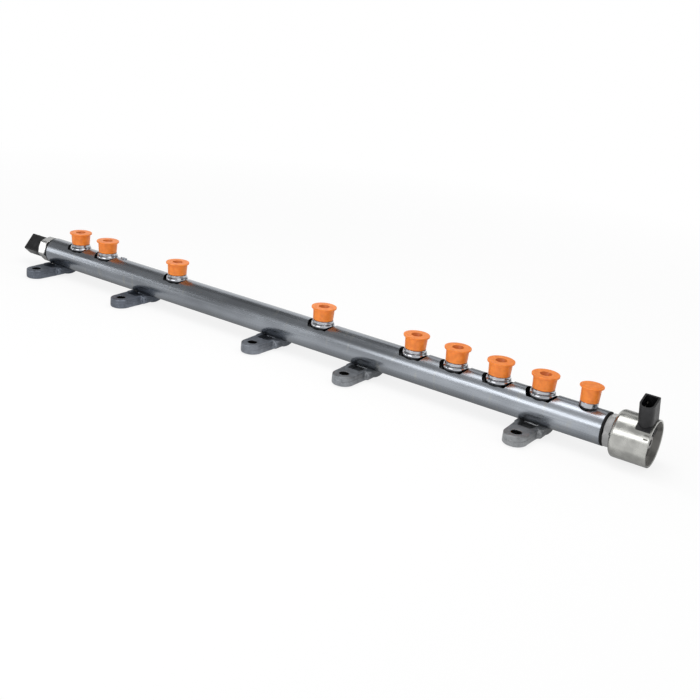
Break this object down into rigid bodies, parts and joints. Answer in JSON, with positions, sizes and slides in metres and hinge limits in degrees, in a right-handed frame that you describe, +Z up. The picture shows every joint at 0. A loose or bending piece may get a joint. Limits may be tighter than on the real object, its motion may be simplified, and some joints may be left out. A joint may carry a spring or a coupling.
{
  "type": "fuel rail",
  "caption": "High-pressure diesel fuel rail: long tube on bolt-down feet, capped pipe ports, a pressure sensor and a pressure control valve.",
  "frame": {"origin": "axis of the middle foot's bolt hole, on the plane of the feet's undersides", "axes": "+X along the tube towards the pressure valve, -Y from the tube to the bolt lugs, +Z up, away from the mounting plane"},
  "size_m": [0.6102, 0.0554, 0.0512],
  "materials": {
    "tube_steel": "bright drawn steel, satin with fine lines along the tube",
    "port_steel": "zinc-nickel plated turned steel, glossy",
    "forged_steel": "forged steel, matt grey scale",
    "cap_plastic": "soft orange polyethylene",
    "sensor_steel": "bright turned stainless steel",
    "valve_steel": "bright turned steel",
    "can_steel": "zinc-nickel plated drawn steel, satin",
    "ball_steel": "polished bearing steel",
    "spring_steel": "drawn spring wire",
    "iron": "turned soft magnetic iron",
    "copper": "enamelled copper wire",
    "terminal": "tinned brass",
    "connector_plastic": "black glass-filled polyamide",
    "bobbin_plastic": "black polyamide",
    "board": "green circuit board",
    "black_rubber": "black rubber-coated sealing ring"
  },
  "bodies": {
    "rail": {"rail_tube": "tube_steel", "port_1": "port_steel", "port_cap_1": "cap_plastic", "port_2": "port_steel", "port_cap_2": "cap_plastic", "port_3": "port_steel", "port_cap_3": "cap_plastic", "port_4": "port_steel", "port_cap_4": "cap_plastic", "port_5": "port_steel", "port_cap_5": "cap_plastic", "port_6": "port_steel", "port_cap_6": "cap_plastic", "port_7": "port_steel", "port_cap_7": "cap_plastic", "port_8": "port_steel", "port_cap_8": "cap_plastic", "return_spigot": "port_steel", "return_cap": "cap_plastic", "foot_1": "forged_steel", "foot_2": "forged_steel", "foot_3": "forged_steel", "foot_4": "forged_steel", "foot_5": "forged_steel", "sensor_body": "sensor_steel", "sensor_washer": "black_rubber", "sensor_element": "sensor_steel", "sensor_board": "board", "sensor_housing": "connector_plastic", "sensor_pins": "terminal", "valve_body": "valve_steel", "valve_washer": "black_rubber", "valve_o_ring": "black_rubber", "valve_seat": "valve_steel", "valve_spring": "spring_steel", "valve_sleeve": "valve_steel", "valve_core": "iron", "valve_bobbin": "bobbin_plastic", "valve_winding": "copper", "valve_yoke": "iron", "valve_cover": "connector_plastic", "valve_can": "can_steel", "valve_connector": "connector_plastic", "valve_pins": "terminal"},
    "valve_needle": {"valve_armature": "iron", "valve_pin": "valve_steel", "valve_ball": "ball_steel"}
  },
  "joints": [
    {"name": "needle_lift", "type": "slide", "parent": "rail", "child": "valve_needle", "axis": [1, 0, 0], "range_m": [0, 0.0004], "stiffness_N_per_m": 4000, "springref_m": -0.001}
  ]
}
